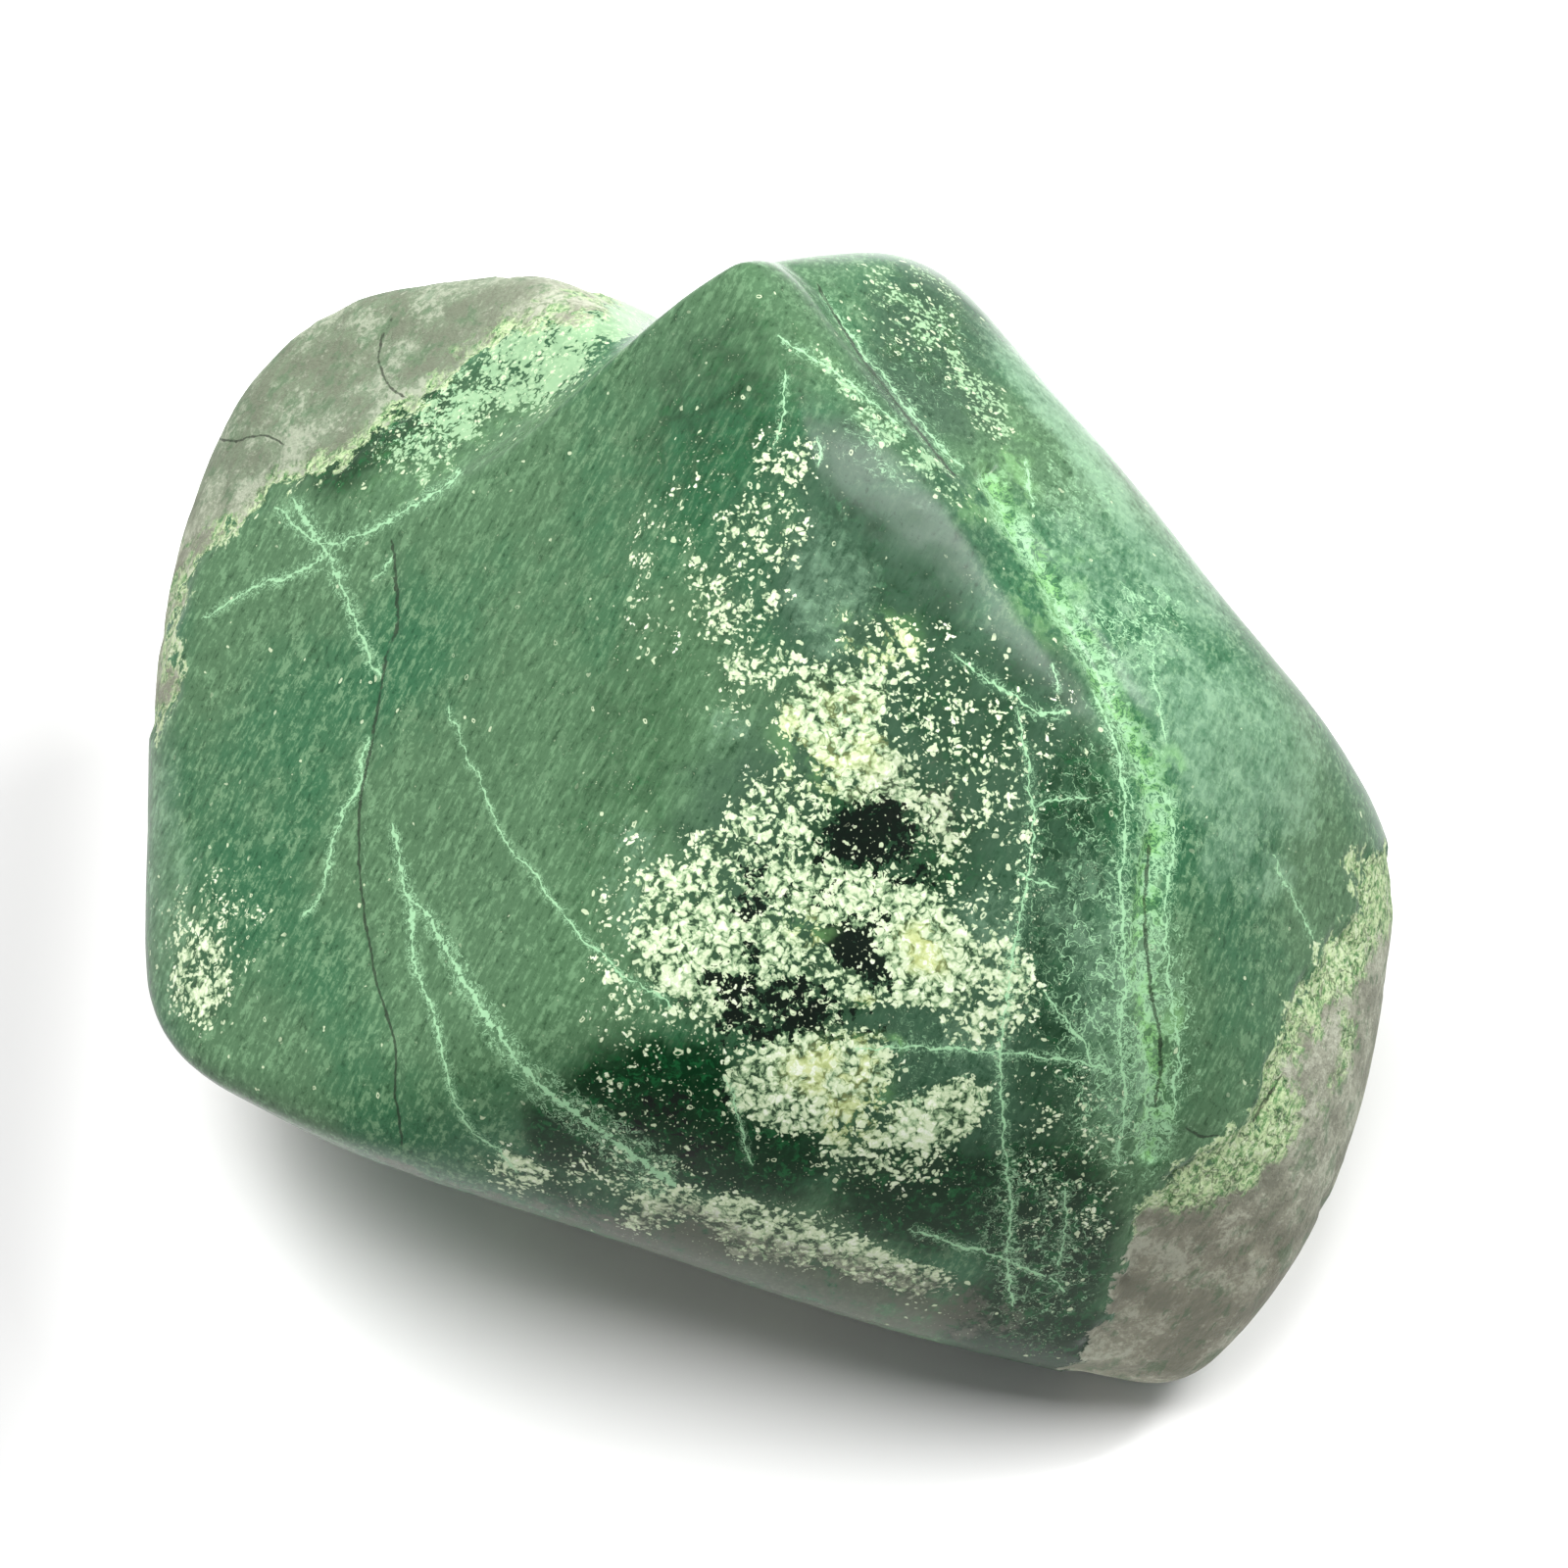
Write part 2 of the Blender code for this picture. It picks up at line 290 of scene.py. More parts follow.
# soft patches in pixels of the view: x, y, half width, half height, turn in degrees, strength
patches = {
    "cream": [(800, 470, 44, 40, 0, 0.44), (785, 540, 60, 60, 0, 0.46), (755, 620, 70, 70, 10, 0.46),
              (780, 690, 60, 50, 0, 0.48), (905, 660, 50, 40, 20, 0.52), (856, 730, 60, 56, 0, 0.86),
              (884, 790, 56, 44, 0, 0.74), (800, 850, 70, 70, 0, 0.56), (900, 850, 110, 80, 0, 0.5),
              (750, 870, 70, 36, -24, 0.56), (700, 905, 60, 40, 0, 0.6), (860, 920, 110, 42, 10, 0.9),
              (720, 965, 80, 56, 0, 0.82), (938, 972, 80, 56, 30, 0.95), (800, 1005, 140, 54, 0, 0.64),
              (825, 1100, 84, 58, 0, 0.88), (966, 1130, 64, 26, -25, 0.92), (900, 1170, 80, 46, 0, 0.52),
              (1010, 1010, 66, 66, 0, 0.56), (1000, 860, 80, 150, 0, 0.36), (940, 770, 160, 140, 0, 0.4),
              (700, 1110, 110, 100, 0, 0.28), (1090, 1180, 70, 110, 0, 0.34),
              (206, 1004, 38, 50, 0, 0.6), (210, 960, 60, 80, 0, 0.36), (530, 1201, 34, 20, 20, 0.6),
              (640, 1200, 90, 40, 10, 0.4), (700, 560, 60, 120, 10, 0.3),
              (640, 960, 50, 120, 0, 0.36), (1070, 1270, 44, 60, 0, 0.22), (690, 1238, 80, 24, 10, 0.6),
              (800, 1262, 110, 34, 14, 0.7), (900, 1300, 70, 26, 14, 0.72)],
    "bloom": [(560, 350, 96, 50, -40, 0.66), (470, 410, 120, 40, -38, 0.52), (640, 315, 40, 24, -20, 0.8),
              (953, 318, 30, 26, 0, 0.5), (935, 310, 70, 60, 0, 0.36), (905, 440, 130, 18, 45, 0.48),
              (1000, 400, 24, 70, -24, 0.5)],
    "black": [(884, 852, 44, 34, 0, 0.9), (915, 885, 34, 24, 0, 0.7), (864, 972, 34, 22, 20, 1.0),
              (888, 992, 30, 18, 40, 0.9), (795, 1032, 70, 30, 0, 0.72), (739, 985, 26, 22, 0, 0.66),
              (764, 930, 24, 20, 0, 0.62), (868, 1055, 34, 18, 0, 0.6), (850, 930, 60, 40, 0, 0.36),
              (800, 900, 60, 50, 0, 0.36), (700, 1130, 60, 60, 0, 0.4)],
    # slate: grey-green over the front, partly painted shade below the ridges and on faces turned from the
    # light
    "slate": [(900, 600, 120, 130, 0, 0.9), (960, 760, 160, 150, 0, 0.95), (870, 900, 190, 200, 0, 0.85),
              (1040, 950, 120, 230, 0, 0.8), (860, 480, 50, 70, -30, 0.8), (960, 1100, 180, 120, 0, 0.8),
              (950, 360, 74, 100, -25, 0.8), (780, 560, 60, 140, 10, 0.5),
              (720, 380, 80, 70, 20, 0.35)],
    # deep: dark green, partly the stone's own and partly painted shade on the front, the crest and the lower
    # faces
    "deep": [(680, 1125, 110, 76, 0, 1.0), (590, 1150, 60, 50, 0, 0.9), (760, 1180, 120, 50, 0, 0.9),
             (1065, 1260, 76, 110, 0, 1.0), (960, 1215, 120, 60, 0, 0.9), (900, 860, 100, 80, 0, 0.7),
             (800, 1020, 110, 60, 0, 0.6), (1110, 840, 50, 100, 0, 0.5), (1000, 720, 100, 70, 0, 0.4),
             (730, 430, 90, 130, 25, 0.42), (600, 600, 150, 240, 30, 0.2), (1045, 1360, 90, 60, 14, 1.0),
             (1180, 1090, 50, 120, 0, 0.3),
             (390, 425, 100, 44, -38, 0.8), (945, 340, 60, 60, 0, 0.4), (480, 400, 60, 34, -40, 0.5),
             (640, 1235, 150, 26, 18, 0.6), (1080, 1040, 44, 130, 0, 0.45), (640, 800, 70, 200, 8, 0.34),
             (940, 620, 70, 50, 30, 0.35), (880, 540, 40, 50, 0, 0.4)],
    # milky: the stone's pale haze together with painted sheen and highlights on the ridges, the right face
    # and the rim
    "milky": [(1150, 560, 110, 90, 35, 0.5), (1190, 690, 60, 50, 0, 0.5), (855, 600, 44, 90, 0, 0.42),
              (856, 650, 24, 34, 0, 0.4), (742, 742, 30, 26, 0, 0.35), (890, 290, 70, 40, 0, 0.2),
              (1255, 863, 30, 40, 30, 0.55), (1300, 900, 30, 30, 0, 0.5), (1265, 760, 120, 80, 50, 0.62),
              (1110, 460, 150, 24, 54, 0.75), (1200, 590, 90, 30, 54, 0.6), (935, 488, 110, 16, 45, 0.3),
              (1010, 1000, 60, 110, 0, 0.4), (170, 900, 30, 160, 0, 0.4),
              (1150, 1040, 50, 150, 0, 0.45), (1120, 930, 50, 70, 0, 0.35), (640, 900, 40, 70, 0, 0.35)],
    "lime": [(943, 970, 34, 24, 20, 0.9), (852, 1085, 44, 26, 0, 0.75), (877, 1133, 34, 30, 0, 0.7),
             (819, 959, 28, 20, 0, 0.6), (850, 760, 60, 50, 0, 0.5), (1200, 772, 16, 22, 0, 0.7),
             (1188, 1055, 14, 40, 0, 0.7), (908, 1078, 13, 9, 0, 1.0),
             (884, 1028, 10, 8, 0, 1.0), (1020, 500, 30, 50, 30, 0.6), (1080, 610, 30, 50, 25, 0.5),
             (905, 650, 40, 30, 0, 0.5)],
    "net": [(1150, 1050, 76, 180, 0, 0.85), (1140, 850, 60, 130, 0, 0.6), (1165, 640, 60, 46, 0, 0.85),
            (1090, 930, 80, 180, 0, 0.5), (1060, 1260, 80, 120, 0, 0.66), (900, 430, 90, 50, 45, 0.6),
            (330, 560, 60, 60, 0, 0.35), (960, 1100, 110, 80, 0, 0.45), (440, 400, 110, 60, -35, 0.6),
            (1100, 500, 60, 60, 40, 0.55), (950, 350, 70, 90, -25, 0.5), (1240, 860, 80, 80, 0, 0.4),
            (880, 640, 60, 50, 0, 0.4)],
    # brown on the right is the crust's own; brown and sage on the shelf paint shade on its crust
    "brown": [(1230, 1330, 130, 90, -40, 0.8), (330, 330, 130, 46, -10, 0.5)],
    "sage": [(330, 360, 240, 120, -35, 1.0)],
    # stain: grey-brown stains together with painted shade along the lower front and the bottom rim
    "stain": [(790, 1292, 230, 32, 14, 0.8), (600, 1312, 330, 26, 16, 0.6), (560, 1246, 120, 14, 18, 0.5),
              (930, 820, 60, 60, 0, 0.3), (330, 1180, 190, 14, 20, 0.5)],
}
for mark, spots in patches.items():
    # a spot falls off as a smooth step of its elliptic radius; where spots overlap the strongest holds
    strength = np.zeros(len(smooth))
    for x, y, halfWide, halfHigh, turn, amount in spots:
        turn = np.radians(turn)
        across, down = (wandered - (x, y)).T
        radius = np.hypot((across * np.cos(turn) + down * np.sin(turn)) / halfWide,
                          (down * np.cos(turn) - across * np.sin(turn)) / halfHigh)
        strength = np.maximum(strength, amount * smoothStep(radius, *placing["patchEdge"]))
    marks[mark] = strength * seen
print("patches placed:", ", ".join(marks))

# veins, seams and cracks along paths in pixels of the view, with their widths in mm at both ends; those
# that cross or run close together are on different layers
veins = {
    "browDown": ("veinA", 0.85, 0.45, [(294, 506), (311, 530), (328, 557), (344, 590), (363, 637),
                 (381, 681), (386, 695)]),
    "browAcross": ("veinB", 0.5, 0.35, [(276, 516), (300, 534), (328, 553), (370, 543), (446, 499),
                   (472, 477)]),
    "browLeft": ("veinC", 0.5, 0.3, [(330, 560), (312, 579), (254, 601), (203, 633)]),
    "hook": ("veinC", 0.15, 0.15, [(399, 557), (388, 583), (372, 597)]),
    "crackSide": ("veinA", 0.45, 0.2, [(372, 748), (367, 780), (364, 803), (348, 830), (337, 859),
                  (330, 903), (304, 943)]),
    "longLeft": ("veinA", 0.3, 1.6, [(397, 837), (410, 895), (416, 916), (439, 943), (457, 975),
                 (479, 1012), (494, 1034), (512, 1063), (526, 1081), (548, 1106), (584, 1135), (621, 1161),
                 (655, 1188), (690, 1212)]),
    "longLeftFork": ("veinB", 0.4, 0.3, [(416, 916), (420, 954), (421, 986), (439, 1030), (450, 1077),
                     (463, 1121), (479, 1153), (504, 1172), (530, 1201)]),
    "middleLeft": ("veinC", 0.15, 0.3, [(452, 712), (475, 772), (490, 797), (501, 830), (515, 859),
                   (533, 881), (559, 914), (584, 946), (613, 975), (643, 1001), (690, 1030)]),
    "crest": ("veinA", 0.2, 0.6, [(968, 661), (1004, 690), (1041, 712), (1066, 728), (1095, 723)]),
    "crestSide": ("veinB", 0.25, 0.25, [(1073, 672), (1078, 690), (1082, 712)]),
    "frontLong": ("veinC", 0.25, 0.5, [(1039, 715), (1052, 795), (1055, 839), (1050, 897), (1037, 959),
                  (1026, 1030), (1022, 1086), (1025, 1168), (1031, 1215), (1029, 1270), (1033, 1338)]),
    "frontArm": ("veinA", 0.3, 0.2, [(1055, 828), (1073, 817), (1120, 812)]),
    "frontArmLow": ("veinB", 0.3, 0.2, [(1033, 890), (1060, 898), (1084, 912)]),
    "frontFork": ("veinA", 0.3, 0.3, [(1063, 1010), (1095, 1050), (1120, 1093)]),
    "frontAcross": ("veinB", 0.25, 0.4, [(866, 1072), (925, 1070), (986, 1073), (1050, 1077),
                    (1095, 1083), (1135, 1092)]),
    "frontFoot": ("veinA", 0.2, 0.3, [(739, 1093), (752, 1140), (768, 1195)]),
    "footAcross": ("veinA", 0.3, 0.4, [(924, 1254), (986, 1273), (1030, 1287), (1073, 1309),
                   (1092, 1324)]),
    "footLoop": ("veinB", 0.4, 0.3, [(1085, 1208), (1089, 1247), (1080, 1300)]),
    "sideTick": ("veinB", 0.2, 0.2, [(1147, 786), (1155, 810), (1162, 834)]),
    "terraceTick": ("veinC", 0.3, 0.3, [(1176, 666), (1184, 721), (1191, 761)]),
    "stripTick": ("veinC", 0.3, 0.2, [(1045, 463), (1050, 490), (1056, 521)]),
    "rightLine": ("veinA", 0.15, 0.25, [(1296, 866), (1320, 915), (1343, 964)]),
    "peakLine": ("veinA", 0.3, 0.2, [(800, 372), (800, 400), (797, 430), (789, 463)]),
    "peakTick": ("veinB", 0.3, 0.2, [(836, 440), (837, 458), (834, 480)]),
    "groove": ("seam", 2.0, 2.4, [(1005, 470), (1036, 535), (1065, 575), (1087, 622), (1116, 666),
               (1138, 713), (1163, 757), (1176, 797), (1184, 841), (1174, 900), (1169, 968), (1174, 1041),
               (1182, 1114), (1176, 1190)]),
    "grooveLeft": ("veinA", 0.5, 0.4, [(1116, 700), (1140, 760), (1150, 830), (1146, 900), (1150, 980),
                   (1145, 1060), (1150, 1130), (1140, 1190)]),
    "grooveRight": ("veinB", 0.4, 0.3, [(1190, 800), (1200, 860), (1190, 930), (1196, 1000), (1205, 1080),
                    (1196, 1150)]),
    "grooveCrack": ("crack", 0.3, 0.35, [(1183, 850), (1176, 930), (1180, 1010), (1190, 1080),
                    (1186, 1140)]),
    "stripLine": ("veinC", 0.35, 0.25, [(790, 338), (812, 352), (846, 372), (880, 400), (920, 436)]),
    "grooveLine": ("veinB", 0.3, 0.3, [(836, 292), (862, 330), (885, 362), (905, 385), (940, 430),
                   (985, 482)]),
    "crease": ("crack", 0.35, 0.25, [(832, 284), (858, 328), (880, 362), (899, 386), (934, 432),
               (980, 488)]),
    "crack": ("crack", 0.42, 0.22, [(397, 546), (401, 585), (403, 637), (392, 666), (384, 713), (374, 768),
              (364, 823), (364, 895), (372, 954), (384, 1012), (401, 1070), (401, 1113), (410, 1175)]),
    # the two ledge lines paint the shadow at the cream band's ledge in the crack tone, and sink the skin a
    # little
    "ledgeShadowRight": ("crack", 0.3, 0.4, [(1318, 1099), (1302, 1128), (1285, 1153)]),
    "ledgeShadowFoot": ("crack", 0.4, 0.3, [(1209, 1150), (1227, 1161), (1250, 1160)]),
    "shelfCrack": ("crack", 0.3, 0.3, [(398, 316), (382, 340), (380, 362), (392, 388), (412, 402)]),
    "shelfCrackLow": ("crack", 0.25, 0.2, [(196, 430), (224, 446), (262, 440), (288, 452)]),
}
layers = sorted({layer for layer, *_ in veins.values()})
for layer in layers:
    marks[layer] = np.full(len(smooth), placing["noVein"])
    marks[layer + "Width"] = np.zeros(len(smooth))
for layer, startWidth, endWidth, path in veins.values():
    path = curve(path)
    low, high = path.min(axis=0) - placing["veinPixels"], path.max(axis=0) + placing["veinPixels"]
    near = np.flatnonzero(((pixels > low) & (pixels < high)).all(axis=1) & (facing > placing["veinFacing"]))
    away, travelled, left = toPath(pixels[near], path)
    width = startWidth + (endWidth - startWidth) * travelled / (travelled + left)
    width = width * smoothStep(np.minimum(travelled, left) * mmPerPixel, 0, placing["veinTaper"])
    width = width * smoothStep(np.abs(away) * mmPerPixel, *placing["veinSpan"]) * seen[near]
    closer = np.abs(away) * mmPerPixel < np.abs(marks[layer][near])
    marks[layer][near[closer]] = away[closer] * mmPerPixel
    marks[layer + "Width"][near[closer]] = width[closer]
print("veins traced:", len(veins), "on", len(layers), "layers")

# what the skin sinks by, in mm, so that it stays inside the solid's box; a groove is given by its depth,
# its spread to each side and the width of its mark from which it is fully deep
relief = {"allowance": 0.12, "crust": 0.55, "crustPits": 0.6, "crustEdge": (-0.6, 0.9), "polish": 0.05,
          "restShare": 0.1, "restFade": 0.4}
grooves = {"crack": (0.18, 0.5, 0.3), "seam": (0.8, 1.1, 1.5)}
onCrust = smoothStep(marks["crust"] + lumps("rindEdge"), *relief["crustEdge"])
pits = np.clip(lumps("finePits") * 0.6 + lumps("broadPits") * 0.5 - 0.1, 0, 1)
sink = relief["allowance"] + relief["polish"] * (1 + lumps("polish"))
sink = sink + onCrust * (relief["crust"] + relief["crustPits"] * pits)
for layer, (depth, spread, fullFrom) in grooves.items():
    bed = np.exp(-(marks[layer] / spread) ** 2)    # a bell across the groove
    sink = sink + depth * bed * smoothStep(marks[layer + "Width"], 0, fullFrom)
overFloor = smooth[:, 2] + form["heartHeight"]
fading = smoothStep(overFloor, 0, relief["restFade"])    # the rest face stays down on the floor
sink = sink * (relief["restShare"] + (1 - relief["restShare"]) * fading)
skin = smooth - directions * sink[:, None] + heart
skin = np.clip(skin, np.array(cadBox[0]) / mm, np.array(cadBox[1]) / mm)    # trims the finest tips


def meshFrom(name, points, faces):
    mesh = bpy.data.meshes.new(name)
    mesh.vertices.add(len(points))
    mesh.vertices.foreach_set("co", points.astype(np.float32).ravel())
    mesh.loops.add(faces.size)
    mesh.loops.foreach_set("vertex_index", faces.astype(np.int32).ravel())
    mesh.polygons.add(len(faces))
    mesh.polygons.foreach_set("loop_start", np.arange(0, faces.size, 4, dtype=np.int32))
    mesh.polygons.foreach_set("loop_total", np.full(len(faces), 4, dtype=np.int32))
    mesh.update(calc_edges=True)
    mesh.validate()
    mesh.shade_smooth()
    return mesh


boulderMesh = meshFrom("jadeStone", skin * mm, quads)
for mark, values in marks.items():
    attribute = boulderMesh.attributes.new(mark, "FLOAT", "POINT")
    attribute.data.foreach_set("value", values.astype(np.float32))
boulder = bpy.data.objects.new("jadeStone", boulderMesh)
bpy.context.scene.collection.objects.link(boulder)
print("stone meshed")


class Flow:    # one output socket; sums, products and so on of such values add their Math nodes
    def __init__(self, tree, socket=None):
        self.tree, self.socket = tree, socket

    def node(self, kind, settings={}, inputs={}, output=0):    # settings first, then values or links
        made = self.tree.nodes.new("ShaderNode" + kind)
        for name, value in settings.items():
            setattr(made, name, value)
        for key, value in inputs.items():
            if isinstance(value, Flow):
                self.tree.links.new(value.socket, made.inputs[key])
            else:
                made.inputs[key].default_value = value
        return Flow(self.tree, made.outputs[output] if made.outputs else None)

    def other(self, output):    # another output of the same node
        return Flow(self.tree, self.socket.node.outputs[output])

    def math(self, operation, a, b=0.0):
        return self.node("Math", {"operation": operation}, {0: a, 1: b})

    def __add__(self, other): return self.math("ADD", self, other)
    def __radd__(self, other): return self.math("ADD", other, self)
    def __sub__(self, other): return self.math("SUBTRACT", self, other)
    def __rsub__(self, other): return self.math("SUBTRACT", other, self)
    def __mul__(self, other): return self.math("MULTIPLY", self, other)
    def __rmul__(self, other): return self.math("MULTIPLY", other, self)
    def __abs__(self): return self.math("ABSOLUTE", self)


lightLevel = 1.5    # how much brighter than its own reflectance a matt surface looks in the studio


def linear(tone):
    # a tone from 0 to 255 that a matt surface shows in the studio, as its own reflectance: the screen's
    # sRGB curve is undone and the studio's light divided out
    tone = np.array(tone) / 255
    light = np.where(tone <= 0.04045, tone / 12.92, ((tone + 0.055) / 1.055) ** 2.4)
    return (*(light / lightLevel).tolist(), 1.0)


def step(value, low, high):    # eased from 0 at low to 1 at high
    return value.node("MapRange", {"interpolation_type": "SMOOTHSTEP"},
                      {"Value": value, "From Min": low, "From Max": high})


def noise(at, size, detail, roughness, output=0):
    return at.node("TexNoise", {}, {"Vector": at, "Scale": 1 / size, "Detail": detail,
                                    "Roughness": roughness}, output)


def cells(at, size):    # distance to the nearest of scattered places; its second output is a random colour
    return at.node("TexVoronoi", {}, {"Vector": at, "Scale": 1 / size})


def blend(a, b, share):    # two colours, the second by its share
    some = next(item for item in (share, a, b) if isinstance(item, Flow))
    return some.node("Mix", {"data_type": "RGBA"}, {0: share, 6: a, 7: b}, 2)


def vector(operation, a, b, output=0):
    return a.node("VectorMath", {"operation": operation}, {0: a, 1: b}, output)


def scaled(a, by):
    return a.node("VectorMath", {"operation": "SCALE"}, {0: a, "Scale": by})


def most(a, b):
    return a.math("MAXIMUM", a, b)


stone = bpy.data.materials.new("polishedJade")
stone.use_nodes = True
tree = stone.node_tree
tree.nodes.clear()
# sizes in mm of the noises, how far they are shaken, how strongly each colour covers what lies under it,
# and the gloss
sizes = {"shake": 1.6, "rag": 2.6, "grain": 0.7, "strands": 1.1, "waver": 2.2, "cell": 0.8, "bead": 0.48,
         "bump": 1.1}
shakes = {"grains": 1.4, "strands": 2.4, "veins": 1.6}
cover = {
    "flecks": 0.7, "palePatches": 0.55, "slate": 0.9, "darkFlecks": 0.55, "deep": 0.95, "emerald": 0.6,
    "hazeAndSheen": 0.7, "stain": 0.8, "black": 0.95, "lime": 0.7, "limeUnder": 0.55, "stainAndShadeOnCream": 0.95,
    "creamBed": 0.55, "pips": 0.8, "dust": 0.7, "net": 0.85, "veins": 0.9, "seams": 0.75, "farVeins": 0.7,
    "sage": 0.8, "crustDark": 0.6, "crustLines": 0.5, "crustGreen": 0.45, "bandGreen": 0.7, "bandDark": 0.55,
}
gloss = {"polish": 0.21, "crust": 0.34, "cream": 0.35, "grain": 0.05, "specular": 0.10, "ior": 1.5,
         "bump": 0.9, "crustBump": 0.34, "polishBump": 0.012}

start = Flow(tree)
place = scaled(start.node("TexCoord", output=3), 1 / mm)    # in mm
shake = vector("SUBTRACT", noise(place, sizes["shake"], 2, 0.6, output=1), (0.5, 0.5, 0.5))
shaken = vector("ADD", place, scaled(shake, shakes["grains"]))
shakenMore = vector("ADD", place, scaled(shake, shakes["strands"]))
mark = {name: start.node("Attribute", {"attribute_name": name}, output=2) for name in marks}

# the fibres' own axes in the view, and their size in mm along each: long along the fibres, short across
fibres = {"X": ((0.469, 0.883, 0.0), 2.4), "Y": ((0.883, -0.469, 0.0), 0.5), "Z": ((0.0, 0.0, 1.0), 0.9)}
fibrePlace = start.node("CombineXYZ", {}, {
    axis: vector("DOT_PRODUCT", place, tuple(viewAxes.T @ np.array(way) / size), 1)
    for axis, (way, size) in fibres.items()})

# slate, deep green, stain, brown and sage here also paint shade on the stone, and haze paints sheen and
# highlights
colours = {
    "green": (84, 120, 86), "greenPale": (118, 158, 118), "greenTeal": (56, 108, 74),
    "deepGreen": (2, 44, 18), "emerald": (34, 110, 60), "slate": (64, 92, 72), "black": (20, 27, 23),
    "hazeAndSheen": (154, 195, 161), "mint": (172, 222, 174), "bloom": (152, 190, 148), "limeVein": (148, 210, 132),
    "creamDark": (56, 80, 58), "creamShade": (144, 174, 132), "cream": (220, 236, 196),
    "white": (246, 252, 234), "yellow": (214, 222, 140), "band": (204, 226, 174),
    "bandGreen": (112, 158, 100), "crust": (166, 169, 150), "crustPale": (206, 211, 190),
    "crustDark": (116, 118, 103), "brown": (142, 139, 122), "sage": (112, 134, 106), "stain": (96, 98, 86),
    "crack": (36, 42, 34),
}
colours = {name: linear(tone) for name, tone in colours.items()}

# the noises that everything below shares, from broad to fine
rag = noise(shaken, sizes["rag"], 3, 0.62)
grain = noise(shaken, sizes["grain"], 3, 0.75)
fibre = noise(fibrePlace, 1.0, 3, 0.65)
strands = noise(shakenMore, sizes["strands"], 3, 0.7)
waver = (noise(place, sizes["waver"], 2, 0.7) - 0.5) * shakes["veins"]
cell = cells(shaken, sizes["cell"])
pipChance = start.node("SeparateColor", {}, {0: cell.other(1)})
pipSize, pipHollow = pipChance.other(1), pipChance.other(2)
bead = cells(shaken, sizes["bead"])
thread = abs(strands - 0.5)
ridge = abs(rag - 0.5)

# green body: broad drift, fibres and fine mottling, slaty and deep zones that are partly painted shade, and
# hazy zones that are partly painted sheen and highlights
body = blend(colours["greenTeal"], colours["green"], step(mark["drift"] + (rag - 0.5), -0.5, 0.5))
flecks = step(fibre * 0.6 + grain * 0.4, 0.49, 0.63)
palePatches = step(rag * 0.4 + grain * 0.35 + fibre * 0.25, 0.52, 0.57)
body = blend(body, colours["greenPale"], flecks * cover["flecks"])
body = blend(body, colours["greenPale"], palePatches * cover["palePatches"])
# slate tone: partly the stone's grey-green, partly painted shade on the front
body = blend(body, colours["slate"], step(mark["slate"] + (rag - 0.5) * 0.7, 0.1, 0.9) * cover["slate"])
body = blend(body, colours["deepGreen"], step(grain * 0.5 + fibre * 0.5, 0.47, 0.34) * cover["darkFlecks"])
# deep green zones: partly the stone's own dark green, partly painted shade
deepAndShadeShare = step(mark["deep"] + (rag - 0.5) * 1.0 + (grain - 0.5) * 0.5, 0.1, 0.9)
body = blend(body, colours["deepGreen"], deepAndShadeShare * cover["deep"])
body = blend(body, colours["emerald"], deepAndShadeShare * step(strands, 0.50, 0.66) * cover["emerald"])
# pale haze: partly the stone's own, partly painted sheen and highlights
hazeAndSheenHere = mark["milky"] + (rag - 0.5) * 0.7 + (strands - 0.5) * 0.8 + (fibre - 0.5) * 0.4
body = blend(body, colours["hazeAndSheen"], step(hazeAndSheenHere, 0.15, 1.0) * cover["hazeAndSheen"])

# brown-grey stains together with painted shade, most of them along the lower front and the bottom rim
stainAndShadeShare = step(mark["stain"] + (rag - 0.5) * 2.4 + (grain - 0.5) * 1.4, 0.15, 0.75)
stainAndShadeShare = stainAndShadeShare * step(mark["stain"], 0.02, 0.3)
body = blend(body, colours["stain"], stainAndShadeShare * cover["stain"])

# black patches, ragged
blackHere = mark["black"] + (rag - 0.5) * 2.6 + (grain - 0.5) * 1.8 + (strands - 0.5) * 1.4
blackShare = step(blackHere, 0.44, 0.7) * step(mark["black"], 0.02, 0.2)
body = blend(body, colours["black"], blackShare * cover["black"])

# cream grains on a darker bed, closer together where the cream mark is stronger, with looser pips and dust
creamHere = most(mark["cream"], mark["bloom"]) * (1 - blackShare * 0.62)
clump = step(cell, 0.75, 0.3)
beads = step(bead, 0.66, 0.30)
creamShare = grain * 0.28 + rag * 0.56 + clump * 0.08 + beads * 0.12 - 0.795 + creamHere * 0.59
creamShare = step(creamShare, -0.01, 0.04) * step(creamHere, 0.02, 0.15)
pips = step(cell - pipSize * 0.32, 0.10, 0.03) * step(creamHere * 0.95 + 0.045 - pipChance, 0.0, 0.04)
pips = pips * (1 - step(pipHollow, 0.5, 0.55) * step(cell - pipSize * 0.22, 0.03, -0.04))
dust = step(bead, 0.20, 0.12) * step(creamHere * 0.5 + mark["deep"] * 0.15 + rag - 0.56, 0.0, 0.25)
lit = clump * 0.35 + beads * 0.25 + step(grain, 0.38, 0.66) * 0.5
lit = lit + (rag - 0.5) * 1.2 + creamHere * 0.45 - 0.2 - mark["bloom"] * 0.25
lit = lit - step(ridge, 0.034, 0.008) * 0.35 - step(cell + grain * 0.4, 0.66, 0.92) * 0.25
creamTone = blend(colours["creamDark"], colours["creamShade"], step(lit, 0.0, 0.35))
creamTone = blend(creamTone, colours["cream"], step(lit, 0.28, 0.78))
creamTone = blend(creamTone, colours["yellow"], mark["lime"] * step(rag, 0.4, 0.6) * cover["lime"])
creamTone = blend(creamTone, colours["white"], step(lit, 0.8, 1.15))
creamTone = blend(creamTone, colours["bloom"], step(mark["bloom"], 0.1, 0.4) * (0.5 + rag * 0.7))
